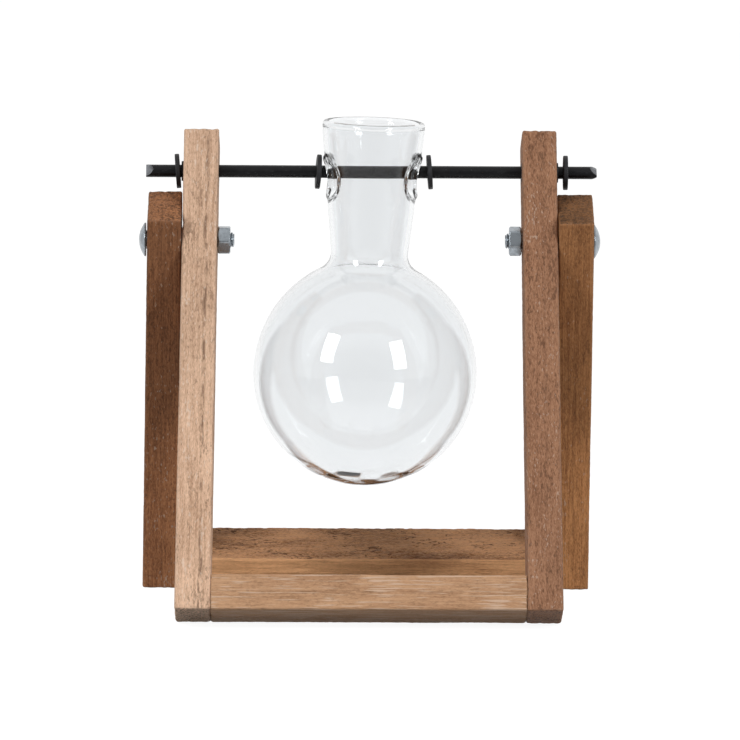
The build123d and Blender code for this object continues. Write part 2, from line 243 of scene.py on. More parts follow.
def put_mesh(name, points, faces, **marks):
    """Puts points in millimetres and faces into a new piece, whose doubles are merged and whose
    faces all point outwards."""
    mesh = bpy.data.meshes.new(name)
    mesh.from_pydata((points * MM).tolist(), [], faces.tolist())
    set_marks(mesh, **marks)
    work = bmesh.new()
    work.from_mesh(mesh)
    bmesh.ops.remove_doubles(work, verts=work.verts, dist=2e-6)
    bmesh.ops.dissolve_degenerate(work, edges=work.edges, dist=1e-7)
    bmesh.ops.recalc_face_normals(work, faces=work.faces)
    work.to_mesh(mesh)
    work.free()
    mesh.polygons.foreach_set("use_smooth", np.ones(len(mesh.polygons), bool))
    mesh.update()
    piece = bpy.data.objects.new(name, mesh)
    bpy.context.scene.collection.objects.link(piece)
    return piece


def lay_grid(name, grid, wrap_rows=False, **marks):
    """A piece whose surface is a grid of points, rows by columns by three, closed round."""
    rows, columns = grid.shape[:2]
    marks = {title: values.ravel() for title, values in marks.items()}
    return put_mesh(name, grid.reshape(-1, 3), grid_faces(rows, columns, wrap_rows, True), **marks)


def finish_piece(piece, body, slot, material, *nodes):
    """Hands a finished piece to the frame: its body and the nodes it stands for. The slot is not
    used.
    """
    piece.data.materials.clear()
    piece.data.materials.append(material)
    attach(piece, body)
    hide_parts(*nodes)
    return piece


def round_angles(count):
    """Evenly spaced angles of one full turn, as a row."""
    return (TURN * np.arange(count) / count)[None, :]


def waves(points, lengths, amount, random, count=28):
    """Smooth noise over points: a sum of sine waves of random direction and phase, whose lengths
    along the three axes are the given ones times 1 to 2.5, scaled to about the given amount."""
    direction = random.normal(size=(count, 3))
    direction /= np.linalg.norm(direction, axis=1)[:, None]
    scale = random.uniform(1.0, 2.5, size=(count, 1)) * np.asarray(lengths, float)
    phase = random.uniform(0, TURN, size=count)
    total = np.sin(points @ (TURN * direction / scale).T + phase).sum(axis=1)
    return amount * total / math.sqrt(count / 2)


def around_x(x, radius, angle, y, z):
    """Points about a line along X through (y, z), at angles that run from +Y towards +Z."""
    x, radius, angle = np.broadcast_arrays(x, radius, angle)
    return np.stack([x, y + radius * np.cos(angle), z + radius * np.sin(angle)], axis=-1)


def run_lengths(line):
    """How far along a line of points each of them lies."""
    return np.concatenate([[0], np.cumsum(np.linalg.norm(np.diff(line, axis=0), axis=1))])


def along_line(line, run, places):
    """Points at given places along a line."""
    return np.stack([np.interp(places, run, line[:, k]) for k in range(line.shape[1])], axis=1)


def sharpness(line, run):
    """How fast a line in the plane turns, in radians a millimetre."""
    across, up = np.gradient(line, axis=0).T
    return np.abs(np.gradient(np.unwrap(np.arctan2(up, across)), run))


def heaped(density, run):
    """How much of a density lies along a line before each of its points."""
    return np.concatenate([[0], np.cumsum(density[1:] * np.diff(run))])


def smoothed(line, weight):
    """A line in the plane, each of whose points is a weighted mean of its neighbours. It loses half
    of the weights' length at each end."""
    return np.stack([np.convolve(line[:, k], weight, "valid") for k in (0, 1)], axis=1)


def arc(centre, radius, start, end, step=0.05):
    """Points on an arc, from one angle to another."""
    angle = np.linspace(start, end, max(3, int(abs(end - start) * radius / step)))
    return np.stack([centre[0] + radius * np.cos(angle), centre[1] + radius * np.sin(angle)],
                    axis=1)


def bell(width, step, reach):
    """The weights of a bell curve of a given width, out to a given reach, which add up to 1."""
    place = np.arange(-reach, reach + step / 2, step)
    weight = np.exp(-0.5 * (place / width) ** 2)
    return weight / weight.sum()


def rounded(corners, radius, steps=6):
    """A line through corners, each rounded by a curve that starts and ends a radius from it and
    has the corner as its control point."""
    corners = np.asarray(corners, float)
    made = [corners[:1]]
    part = np.linspace(0, 1, steps)[:, None]
    for before, corner, after in zip(corners[:-2], corners[1:-1], corners[2:]):
        into, out = before - corner, after - corner
        cut = min(radius, np.linalg.norm(into) / 2, np.linalg.norm(out) / 2)
        a = corner + into / np.linalg.norm(into) * cut
        b = corner + out / np.linalg.norm(out) * cut
        made.append(a * (1 - part) ** 2 + 2 * corner * part * (1 - part) + b * part**2)
    made.append(corners[-1:])
    return np.vstack(made)


def refine(line, step):
    """A line with points added so that none of its runs is longer than step."""
    run = run_lengths(line)
    marks = np.unique(np.concatenate([run, np.arange(0, run[-1], step)]))
    return along_line(line, run, marks[np.concatenate([[True], np.diff(marks) > 1e-3])])


# Node trees


class Tree:
    """A short way to write a node tree: nodes are made, set and linked in one call. Where inputs
    are given by name, an underscore stands for a space."""

    def __init__(self, tree):
        self.tree = tree

    def put(self, node, name, value):
        socket = node.inputs[name]
        if isinstance(value, bpy.types.NodeSocket):
            self.tree.links.new(value, socket)
        else:
            socket.default_value = value

    def fill(self, node, **inputs):
        for name, value in inputs.items():
            self.put(node, name.replace("_", " "), value)
        return node

    def node(self, kind, settings=None, **inputs):
        made = self.tree.nodes.new(kind)
        for name, value in (settings or {}).items():
            setattr(made, name, value)
        return self.fill(made, **inputs)

    def put_row(self, node, values, first=0):
        """Puts values into a node's inputs by number, from first on, and gives its outputs."""
        for number, value in enumerate(values, first):
            self.put(node, number, value)
        return node.outputs

    def math(self, operation, a, b=0.0, clamp=False):
        made = self.node("ShaderNodeMath", {"operation": operation, "use_clamp": clamp})
        return self.put_row(made, (a, b))[0]

    def product(self, a, b):
        return self.math("MULTIPLY", a, b)

    def rest(self, value):
        """What a value leaves of 1."""
        return self.math("SUBTRACT", 1.0, value)

    def add(self, first, *others, clamp=False):
        """The sum of sockets and numbers."""
        total = first
        for other in others[:-1]:
            total = self.math("ADD", total, other)
        return self.math("ADD", total, others[-1], clamp)

    def swing(self, value, amount):
        """A noise value about its middle: how far it lies from a half, times an amount."""
        return self.product(self.math("SUBTRACT", value, 0.5), amount)

    def times(self, vector, factors):
        made = self.node("ShaderNodeVectorMath", {"operation": "MULTIPLY"})
        return self.put_row(made, (vector, factors))["Vector"]

    def size(self, vector):
        made = self.node("ShaderNodeVectorMath", {"operation": "LENGTH"})
        return self.put_row(made, (vector,))["Value"]

    def axis(self, vector, name):
        return self.node("ShaderNodeSeparateXYZ", None, Vector=vector).outputs[name]

    def noise(self, vector, scale, detail=2.0, roughness=0.5, distortion=0.0):
        made = self.node("ShaderNodeTexNoise", None, Vector=vector, Scale=scale, Detail=detail,
                         Roughness=roughness, Distortion=distortion)
        return made.outputs["Fac"]

    def ramp(self, value, low, high):
        """0 below low, 1 above high, and a smooth way between them."""
        made = self.node("ShaderNodeMapRange", {"interpolation_type": "SMOOTHSTEP"}, Value=value,
                         From_Min=low, From_Max=high)
        return made.outputs["Result"]

    def blend(self, part, a, b):
        """A number part way between two."""
        return self.node("ShaderNodeMix", None, Factor=part, A=a, B=b).outputs[0]

    def mix(self, part, a, b):
        """A colour part way between two, which are the node's inputs 6 and 7."""
        made = self.node("ShaderNodeMix", {"data_type": "RGBA"}, Factor=part)
        return self.put_row(made, (a, b), 6)[2]

    def over(self, under, mark, strength, upper):
        """One colour laid over another where a mark is, as strongly as given."""
        return self.mix(self.product(mark, strength), under, upper)

    def mark(self, name, output="Fac"):
        """Numbers that a mesh holds on its points."""
        return self.node("ShaderNodeAttribute", {"attribute_name": name}).outputs[output]

    def group(self, group, **inputs):
        return self.node("ShaderNodeGroup", {"node_tree": group}, **inputs).outputs

    def bump(self, height, strength, distance):
        return self.node("ShaderNodeBump", None, Height=height, Strength=strength,
                         Distance=distance).outputs["Normal"]


def solid(values, factor=1.0, towards=None, part=0.0):
    """A colour for a socket: made darker or lighter by a factor, and part way to another."""
    made = np.array(values[:3]) * factor
    if towards is not None:
        made = made * (1 - part) + np.array(linear(*towards)) * part
    return (*np.clip(made, 0, 1).tolist(), 1.0)


def new_group(name, inputs, outputs):
    """A shader node group: its tree, its inputs' sockets and its output node. Inputs are given as
    names and defaults, and a vector comes before them."""
    group = bpy.data.node_groups.new(name, "ShaderNodeTree")
    group.interface.new_socket("Vector", in_out="INPUT", socket_type="NodeSocketVector")
    for title, default in inputs.items():
        socket = group.interface.new_socket(title, in_out="INPUT", socket_type="NodeSocketFloat")
        socket.default_value = default
    for title in outputs:
        group.interface.new_socket(title, in_out="OUTPUT", socket_type="NodeSocketFloat")
    tree = Tree(group)
    return tree, tree.node("NodeGroupInput").outputs, tree.node("NodeGroupOutput")


# Each noise of the sawn grain: its factor on a board's length, scale, detail and roughness
GRAIN_NOISE = {"streak": (0.04, 2100.0, 3.0, 0.65), "speckle": (0.28, 2500.0, 4.0, 0.8),
               "cluster": (0.4, 130.0, 1.5, 0.5), "pit": (0.35, 1400.0, 2.0, 0.6),
               "stain": (0.25, 75.0, 3.0, 0.62), "bend": (0.08, 150.0, 2.0, 0.5),
               "breaks": (0.2, 620.0, 3.0, 0.7)}


def grain_group():
    """Rough-sawn softwood in a board's own metres, with its length on Z. Streak and Speckle are
    long and short fibres, Fleck and Pit are sparse pale and dark marks in clusters, Stain is broad
    and uneven, Rings are growth rings cut lengthwise, Line is one broken dark grain line at a place
    on X, and Relief is how high the fibres stand."""
    found = bpy.data.node_groups.get("sawn grain")
    if found:
        return found
    tree, given, result = new_group(
        "sawn grain",
        {"Ring Spacing": 0.0022, "Dash": 0.35, "Fleck From": 0.68, "Line Place": 0.0,
         "Line Width": 0.001},
        ["Streak", "Speckle", "Fleck", "Pit", "Stain", "Rings", "Line", "Relief"],
    )
    place = given["Vector"]
    noise = {title: tree.noise(tree.times(place, (1, 1, along)), *kind)
             for title, (along, *kind) in GRAIN_NOISE.items()}
    dash = tree.node("ShaderNodeCombineXYZ", None, X=1.0, Y=1.0, Z=given["Dash"]).outputs[0]
    fleck = tree.add(tree.noise(tree.times(place, dash), 1250.0), tree.swing(noise["cluster"], 0.4))
    fleck = tree.ramp(tree.math("SUBTRACT", fleck, given["Fleck From"]), 0.0, 0.09)
    pit = tree.ramp(tree.add(noise["pit"], tree.swing(noise["cluster"], -0.5)), 0.59, 0.7)
    heart = tree.add(tree.size(tree.times(place, (1, 1, 0.06))), tree.swing(noise["bend"], 0.008))
    turns = tree.math("FRACT", tree.math("DIVIDE", heart, given["Ring Spacing"]))
    rings = tree.product(tree.ramp(turns, 0.1, 0.85), tree.rest(tree.ramp(turns, 0.9, 1.0)))
    wander = tree.swing(tree.noise(tree.times(place, (0, 0, 1)), 55.0), 0.003)
    far = tree.math("SUBTRACT", tree.add(tree.axis(place, "X"), wander), given["Line Place"])
    far = tree.math("DIVIDE", tree.math("ABSOLUTE", far), given["Line Width"])
    line = tree.product(tree.rest(tree.ramp(far, 0.15, 1.0)), tree.ramp(noise["breaks"], 0.4, 0.6))
    relief = tree.add(noise["streak"], tree.swing(noise["speckle"], 0.55), tree.product(fleck, 0.3),
                      tree.product(pit, -0.5), tree.product(line, -0.4))
    tree.fill(result, Streak=noise["streak"], Speckle=noise["speckle"], Fleck=fleck, Pit=pit,
              Stain=noise["stain"], Rings=rings, Line=line, Relief=relief)
    return tree.tree


def scuff_group():
    """Handling marks on any hard finish: a fine grain, soft smudges and thin scratches along X,
    each from 0 to 1."""
    found = bpy.data.node_groups.get("scuffs")
    if found:
        return found
    tree, given, result = new_group("scuffs", {"Fineness": 1.0}, ["Grain", "Smudge", "Scratch"])
    place, fineness = given["Vector"], given["Fineness"]
    fine, broad, long = (tree.product(fineness, scale) for scale in (3600.0, 210.0, 1900.0))
    streak = tree.noise(tree.times(place, (0.3, 1, 1)), long, 1.0, 0.4)
    tree.fill(result, Grain=tree.noise(place, fine, 2.0, 0.6),
              Smudge=tree.noise(place, broad, 3.0, 0.55, 0.6),
              Scratch=tree.ramp(streak, 0.68, 0.76))
    return tree.tree


def empty_tree(owner):
    """A material's or a world's node tree, without its first nodes."""
    owner.use_nodes = True
    owner.node_tree.nodes.clear()
    return Tree(owner.node_tree)


def new_material(name, **values):
    """A material with a Principled BSDF of the given values: the material, its tree, the shader
    and the object's own coordinates."""
    material = bpy.data.materials.new(name)
    tree = empty_tree(material)
    shader = tree.node("ShaderNodeBsdfPrincipled", None, **values)
    tree.node("ShaderNodeOutputMaterial", None, Surface=shader.outputs[0])
    place = tree.node("ShaderNodeTexCoord").outputs["Object"]
    return material, tree, shader, place


def scuffed_material(name, fineness, **values):
    """A new material with handling marks: the material, its tree, the shader and the marks."""
    material, tree, shader, place = new_material(name, **values)
    return material, tree, shader, tree.group(scuff_group(), Vector=place, Fineness=fineness)


# Materials


# How a wood's colour turns as it deepens: less green and blue
DEEP = np.array([1.0, 0.86, 0.76])
# The colour towards which pale fibres bleach, in sRGB
BLEACHED = (246, 234, 220)
# A wood's light fibres and deepest marks, and its end grain's light and dark, over its base colour
LIGHT, DEEPEST, END_LIGHT, END_DARK = 1.25, 0.34, 1.6, 0.4


def wood_material(name, base, look):
    """Sawn wood of one base colour, with painted light that makes the lower end of a leg lighter.
    look holds how strong each trait is on this board.
    """
    material, tree, shader, _ = new_material(name, Specular_IOR_Level=0.25)
    board = tree.mark("board", "Vector")
    moved = tree.node("ShaderNodeMapping", None, Vector=board, Location=look["offset"])
    grain = tree.group(grain_group(), Vector=moved.outputs[0], Ring_Spacing=look["spacing"],
                       Dash=look["dash"], Fleck_From=look["fleck_from"],
                       Line_Place=look["line_place"] + look["offset"][0])
    # Painted light: foot is 1 at the board's lower end, where the light and dark colours are made
    # lighter by the look's foot factor, standing in for light bounced up from the floor
    foot = tree.ramp(tree.add(tree.axis(board, "Z"), tree.swing(grain["Stain"], 0.05)), 0.02, -0.05)
    light, dark = (tree.mix(foot, solid(base, tone), solid(base, tone * look["foot"]))
                   for tone in (LIGHT, look["dark"] * DEEP))
    deep = solid(base, DEEPEST * DEEP)
    pale = solid(base, 1.2, BLEACHED, look["bleach"])
    swings = [tree.swing(grain[title], look[title.lower()])
              for title in ("Streak", "Speckle", "Stain", "Rings")]
    made = tree.mix(tree.add(0.42, *swings, clamp=True), light, dark)
    for title, upper in (("Line", deep), ("Pit", deep), ("Fleck", pale)):
        made = tree.over(made, grain[title], look[title.lower()], upper)
    if "weathered" in look:
        old = look["weathered"]
        worn = tree.add(0.35, tree.swing(grain["Speckle"], 4.2), tree.swing(grain["Stain"], 4.0),
                        tree.swing(grain["Streak"], 1.5), clamp=True)
        rough = tree.mix(worn, solid(old, 1.35), solid(old, 0.5 * DEEP))
        rough = tree.over(rough, grain["Pit"], 0.9, solid(old, 0.25 * DEEP))
        made = tree.mix(tree.mark("rough"), made, rough)
    coarse = tree.swing(tree.noise(board, 1100.0, 3.0, 0.7), 7.0)
    speckled = tree.add(0.5, coarse, tree.swing(grain["Stain"], 2.0), clamp=True)
    pale_end = solid(base, look["end"] * END_LIGHT)
    end = tree.mix(speckled, pale_end, solid(base, look["end"] * END_DARK))
    end = tree.over(end, tree.ramp(grain["Rings"], 0.75, 1.0), 0.4, pale_end)
    made = tree.mix(tree.mark("cut"), made, end)
    worn_edge = tree.product(tree.mark("edge"), tree.ramp(grain["Speckle"], 0.5, 0.62))
    tree.fill(shader, Base_Color=tree.over(made, worn_edge, look["edge"], pale),
              Roughness=tree.add(0.68, tree.swing(grain["Speckle"], 0.4)),
              Normal=tree.bump(grain["Relief"], look["relief"], 0.0003))
    return material


def metal_material(name, base, worn, gloss, fineness):
    """Plated steel: smudged, lightly scratched and finely grained."""
    material, tree, shader, marks = scuffed_material(name, fineness, Metallic=1.0)
    made = tree.mix(tree.ramp(marks["Smudge"], 0.35, 0.7), solid(base), worn)
    tree.fill(shader, Base_Color=tree.over(made, marks["Scratch"], 0.4, solid(base, 1.3)),
              Roughness=tree.add(gloss, tree.swing(marks["Smudge"], 0.3)),
              Normal=tree.bump(marks["Grain"], 0.2, 0.00004))
    return material


def rod_material(lacquer, bare):
    """Black lacquered steel, bare where the cutters nipped it, which the mesh's cut mark says."""
    material, tree, shader, marks = scuffed_material("black rod", 1.3, Specular_IOR_Level=0.2)
    nipped = tree.ramp(tree.add(tree.mark("cut"), tree.swing(marks["Grain"], 0.3)), 0.45, 0.6)
    coat = tree.mix(marks["Smudge"], solid(lacquer), solid(lacquer, 1.8))
    coat = tree.over(coat, marks["Scratch"], 0.5, solid(bare, 0.25))
    metal = tree.mix(tree.ramp(marks["Smudge"], 0.4, 0.65), solid(bare), solid(bare, 0.45))
    tree.fill(shader, Base_Color=tree.mix(nipped, coat, metal), Metallic=nipped,
              Roughness=tree.add(0.33, tree.swing(marks["Smudge"], 0.5)),
              Normal=tree.bump(marks["Grain"], 0.35, 0.00008))
    return material


def rubber_material(base):
    """Black rubber: matte, with a faint bloom and a fine moulded grain."""
    material, tree, shader, marks = scuffed_material("black rubber", 1.1, Specular_IOR_Level=0.35)
    bloom = tree.ramp(marks["Smudge"], 0.35, 0.75)
    tree.fill(shader, Base_Color=tree.mix(bloom, solid(base), solid(base, 2.0)),
              Roughness=tree.add(0.55, tree.swing(marks["Grain"], 0.5)),
              Normal=tree.bump(marks["Grain"], 0.4, 0.00008))
    return material


def glass_material(tint):
    """Clear blown glass, a trace grey-green, with the slow waves that blowing leaves."""
    material, tree, shader, place = new_material(
        "clear glass", Base_Color=solid(tint), Transmission_Weight=1.0, Roughness=0.0, IOR=1.47)
    slow = tree.noise(tree.times(place, (1, 1, 0.35)), 55.0, 2.0, 0.4)
    tree.fill(shader, Normal=tree.bump(slow, 0.1, 0.0004))
    return material


# The flask


class FlaskShape:
    """The flask in millimetres. Its half outline is a list of (radius, height above the rod)."""
    # How far apart the outline's points are
    STEP = 0.05
    # Rows a millimetre where the outline is straight, more for each radian a millimetre, and most
    SPARSE, DENSER, DENSEST = 0.55, 9.0, 4.0
    # Heights above the rod over which lie the neck and a hole's window, and the window's rows
    NECK_LOW = -60.0
    WINDOW = (-16.0, 10.0)
    LEVELS = 27
    # Widths of the bells that smooth the outline and a bead's section, and how far both reach
    OUTLINE_BELL, BEAD_BELL, REACH = 0.4, 0.36, 1.5
    # How far a bead's section runs on past its circle, and its number of points
    BEAD_RUN, BEAD_ROWS = 3.6, 58
    # Lengths of the waves in the floor and in the wall. The floor's are strongest at one height
    # above the lowest point of the bulb's arc, and fade over a width.
    FLOOR_WAVES, WALL_WAVES = (7, 7, 7), (22, 22, 30)
    FLOOR_MIDDLE, FLOOR_WIDTH = 6, 5

    def __init__(self, sizes):
        self.s = sizes
        self.hole = np.array([ROD_Y, ROD_Z - sizes.hole_drop])
        self.line = self.outline()
        top = int(np.argmax(self.line[:, 1]))
        self.sides = self.line[: top + 1], self.line[top:][::-1]
        self.heights = np.linspace(self.WINDOW[0] - 3, self.WINDOW[1] + 3, 200)
        self.outer, self.inner = (
            np.interp(self.heights, *side[side[:, 1] > self.NECK_LOW].T[::-1])
            for side in self.sides)

    def side(self, depth, level, edge):
        """One side of the glass, depth in from the outside, from the axis at the bottom to the top
        of the straight neck: a flat floor, a rounded edge, the bulb's arc, the crown's arc, which
        is tangent to it at the widest place, the shoulder's arc and the cone."""
        s = self.s
        bulb, crown, hollow = s.bulb_radius - depth, s.crown_radius - depth, s.shoulder + depth
        crown_x = bulb - crown
        height = level + edge + s.bulb_drop
        edge_x = math.sqrt((bulb - edge) ** 2 - height**2)
        low = math.atan2(height, edge_x)
        flat = np.arange(0, edge_x, self.STEP)
        floor = np.stack([flat, np.full(len(flat), level)], axis=1)
        foot_radius = s.neck_foot - depth
        rise = math.sqrt(crown**2 - (foot_radius - crown_x) ** 2)
        foot = np.array([foot_radius, rise - s.bulb_drop])
        top = np.array([s.neck_top - depth, s.neck_top_height])
        ahead = (top - foot) / np.linalg.norm(top - foot)
        out = np.array([ahead[1], -ahead[0]])
        reach = foot + hollow * out - np.array([crown_x, -s.bulb_drop])
        forward = reach @ ahead
        start = foot + ahead * (math.sqrt(forward**2 - reach @ reach + (crown + hollow) ** 2)
                                - forward)
        hub = start + hollow * out
        touch = math.atan2(hub[1] + s.bulb_drop, hub[0] - crown_x)
        cone_turn = math.atan2(-out[1], -out[0]) % TURN
        cone = start + (top - start) * np.linspace(0, 1, 800)[:, None]
        return np.vstack([
            floor,
            arc((edge_x, level + edge), edge, -math.pi / 2, low),
            arc((0.0, -s.bulb_drop), bulb, low, 0.0),
            arc((crown_x, -s.bulb_drop), crown, 0.0, touch),
            arc(hub, hollow, touch + math.pi, cone_turn),
            cone,
        ])

    def outline(self):
        """The whole half outline: out from the axis under the base, up the outside, over the rim,
        whose section is a circle, and down the inside to the axis again, evenly divided and
        smoothed with a narrow bell."""
        s = self.s
        level = -s.bulb_drop - math.sqrt(s.bulb_radius**2 - s.base_radius**2)
        outer = self.side(0.0, level, s.base_edge)
        inner = self.side(s.wall, level + s.base_thickness, s.floor_edge)
        back = s.wall - s.rim_inset
        begin = -math.acos(s.rim_inset / s.rim_tube)
        end = math.pi + math.acos(back / s.rim_tube)
        lip = arc((s.neck_top - s.rim_inset, s.rim_height), s.rim_tube, begin, end)
        line = np.vstack([outer, lip, inner[::-1]])
        line = line[np.concatenate([[True], np.linalg.norm(np.diff(line, axis=0), axis=1) > 1e-6])]
        run = run_lengths(line)
        line = along_line(line, run, np.arange(0, run[-1], self.STEP))
        weight = bell(self.OUTLINE_BELL, self.STEP, self.REACH)
        pad = len(weight) // 2
        line = smoothed(np.vstack([line[pad:0:-1] * (-1, 1), line,
                                   line[-2:-pad - 2:-1] * (-1, 1)]), weight)
        line[0, 0] = line[-1, 0] = 0.0
        return line

    def rows(self):
        """The outline's rows, closer where it turns fast, and at set heights in the neck, the same
        outside and in, between which the holes' windows lie. Returns the rows and where the
        window's lowest row is on each side."""
        levels = np.linspace(*self.WINDOW, self.LEVELS)
        made = []
        for side in self.sides:
            run = run_lengths(side)
            neck = side[:, 1] > self.NECK_LOW
            at = np.interp(levels, side[neck][:, 1], run[neck])
            turn = np.convolve(sharpness(side, run), np.ones(20) / 20, "same")
            amount = heaped(np.minimum(self.SPARSE + self.DENSER * turn, self.DENSEST), run)
            low, high = np.interp([at[0], at[-1]], run, amount)
            below = np.linspace(0, low, int(round(low)) + 1)[:-1]
            above = np.linspace(high, amount[-1], int(round(amount[-1] - high)) + 2)[1:]
            place = np.concatenate([np.interp(below, amount, run), at,
                                    np.interp(above, amount, run)])
            made.append((along_line(side, run, place), len(below)))
        (outer, outer_start), (inner, inner_start) = made
        rows = np.vstack([outer, inner[:-1][::-1]])
        return rows, outer_start, len(rows) - 1 - inner_start

    def place(self, across, y, up):
        """Points given along the flask's own axes, which lean by the tilt, in the shared frame."""
        c, s = math.cos(self.s.tilt), math.sin(self.s.tilt)
        return np.stack(np.broadcast_arrays(self.s.offset + across * c + up * s, ROD_Y + y,
                                            ROD_Z - across * s + up * c), axis=-1)

    def onto_wall(self, y, z, depth, side):
        """Points of the pierced wall: x is where a line along X through (y, z) meets the neck's
        wall, at a depth that is 0 outside and 1 inside. The wall leans with the flask, so x is
        found by going round a few times."""
        c, s = math.cos(self.s.tilt), math.sin(self.s.tilt)
        rise = z - ROD_Z
        far = np.full(np.shape(y), side * self.s.neck_foot)
        for _ in range(6):
            up = far * s + rise * c
            radius = np.interp(up, self.heights, self.outer)
            radius = radius - depth * (radius - np.interp(up, self.heights, self.inner))
            across = side * np.sqrt(np.maximum(radius**2 - (y - ROD_Y) ** 2, 1.0))
            far = (across + rise * s) / c
        return np.stack([self.s.offset + far, y, z], axis=-1)

    def bead_section(self):
        """A bead's section as distance from the hole's middle and share of the wall's depth: in
        along the outer face, round the bead, and out along the inner face."""
        s = self.s
        far = s.hole_radius + self.BEAD_RUN
        up = math.asin(s.bead_inset / s.bead)
        down = math.asin((s.wall - s.bead_inset) / s.bead)
        ring = arc((s.hole_radius, s.bead_inset), s.bead, -up, down - TURN, 0.02)
        line = np.vstack([np.linspace([far, 0], ring[0], 160)[:-1], ring,
                          np.linspace(ring[-1], [far, s.wall], 160)[1:]])
        run = run_lengths(line)
        step = run[-1] / 900
        line = along_line(line, run, np.arange(0, run[-1], step))
        weight = bell(self.BEAD_BELL, step, self.REACH)
        pad = np.arange(1, len(weight) // 2 + 1)[:, None]
        line = smoothed(np.vstack([(line[:1] - (line[1] - line[0]) * pad)[::-1], line,
                                   line[-1:] + (line[-1] - line[-2]) * pad]), weight)
        run = run_lengths(line)
        amount = heaped(1.0 + 3.0 * np.minimum(sharpness(line, run), 1.2), run)
        even = np.linspace(0, amount[-1], self.BEAD_ROWS)
        line = along_line(line, run, np.interp(even, amount, run))
        return line[:, 0], line[:, 1] / s.wall

    def patch(self, side, edges):
        """The wall about one hole: flat strips from the window's edge to a ring about the hole,
        outside and in, and between them the bead's section carried round the ring."""
        section_far, section_depth = self.bead_section()
        centre = self.hole
        way = edges[0] - centre
        ray = way / np.linalg.norm(way, axis=1)[:, None]
        ring = centre + section_far[:, None, None] * ray
        ease = np.linspace(0, 1, 12)[1:-1, None, None]
        flat_out = edges[0][None] * (1 - ease) + ring[:1] * ease
        flat_in = ring[-1:] * (1 - ease) + edges[1][None] * ease
        plan = np.concatenate([flat_out, ring, flat_in])
        depth = np.concatenate([np.zeros(len(ease)), section_depth, np.ones(len(ease))])
        depth = np.repeat(depth[:, None], plan.shape[1], axis=1)
        return self.onto_wall(plan[..., 0], plan[..., 1], depth, side)

    def build(self, name, random, columns=240):
        """The flask as one closed skin: the outline turned about the flask's axis, less a window
        in each side of the neck, which a pierced patch closes."""
        rows, outer_at, inner_at = self.rows()
        angle = round_angles(columns)
        radius, height = rows[:, :1], rows[:, 1:]
        rise = height + self.s.bulb_drop + self.s.bulb_radius
        floor_share = np.exp(-(((rise - self.FLOOR_MIDDLE) / self.FLOOR_WIDTH) ** 2))
        floor_share = floor_share * (np.arange(len(rows)) > inner_at)[:, None]
        plan = np.stack(np.broadcast_arrays(radius * np.cos(angle), radius * np.sin(angle),
                                            height), axis=-1)
        swirl = waves(plan.reshape(-1, 3), self.FLOOR_WAVES, self.s.base_swirl, random)
        height = height + floor_share * swirl.reshape(plan.shape[:2])
        grid = self.place(plan[..., 0], plan[..., 1], height)
        number = np.arange(grid.shape[0] * columns).reshape(-1, columns)
        faces = grid_faces(grid.shape[0], columns, False, True)
        face_row, face_column = np.divmod(np.arange(len(faces)), columns)
        half = columns // 8
        flat = grid.reshape(-1, 3)
        points, patches, used = [flat], [], number.size
        opened = np.zeros(len(faces), bool)
        out_rows = outer_at + np.arange(self.LEVELS)
        in_rows = inner_at - np.arange(self.LEVELS)
        for side, middle in ((1, 0), (-1, columns // 2)):
            span = (middle + np.arange(-half, half + 1)) % columns
            across = (face_column - (middle - half)) % columns < 2 * half
            opened |= across & (face_row >= out_rows[0]) & (face_row < out_rows[-1])
            opened |= across & (face_row >= in_rows[-1]) & (face_row < in_rows[0])
            loops = []
            for window in (out_rows, in_rows):
                block = number[np.ix_(window, span)]
                loops.append(np.concatenate([block[0, :-1], block[:-1, -1], block[-1, :0:-1],
                                             block[:0:-1, 0]]))
            made = self.patch(side, [flat[loop][:, 1:] for loop in loops])
            own = used + np.arange(made.shape[0] * made.shape[1]).reshape(made.shape[:2])
            patches.append(loop_faces(np.vstack([loops[0], own, loops[1]]), False, True))
            points.append(made.reshape(-1, 3))
            used += own.size
        points = np.vstack(points)
        away = points - self.place(0.0, 0.0, 0.0)
        away /= np.linalg.norm(away, axis=1)[:, None]
        stray = waves(points, self.WALL_WAVES, self.s.unevenness, random)
        points = points + away * stray[:, None]
        return put_mesh(name, points, np.vstack([faces[~opened], *patches]))


# Small parts


def mirrored(grid, side):
    """A grid made for the right-hand side, turned over for the left."""
    return grid * np.array([side, 1, 1])


def finish_hardware(node, side, x, radius, angle, material, closed=False):
    """A finished bolt or nut about the pivot, made for the right-hand side."""
    grid = mirrored(around_x(x, radius, angle, 0, PIVOT_Z), side)
    return finish_piece(lay_grid(node + "_turned", grid, closed), "rear_frame", "zinc_steel",
                        material, node)


# How many points go round each small part
AROUND = {"bolt": 96, "nut": 216, "rod": 120, "washer": 112, "bush": 72}
# Roundings of a bolt's head and tip, of a washer's edges and of a bush's ones, in millimetres
HEAD_BEVEL, TIP_BEVEL, WASHER_BEVEL, BUSH_BEVEL = 0.28, 0.15, 0.35, 0.22
# How far a bolt's square neck eases into its shank, and its corners' share of the shank's radius
NECK_EASE, NECK_CORNER = 0.4, 1.32
# A wave to this power is narrower at its crest, as the hollow of a thread is
THREAD_POWER = 1.3
# How softly a nut's corners are cut off, and its faces by the cones at its ends
CORNER_SOFTNESS, CONE_SOFTNESS = 0.1, 0.06


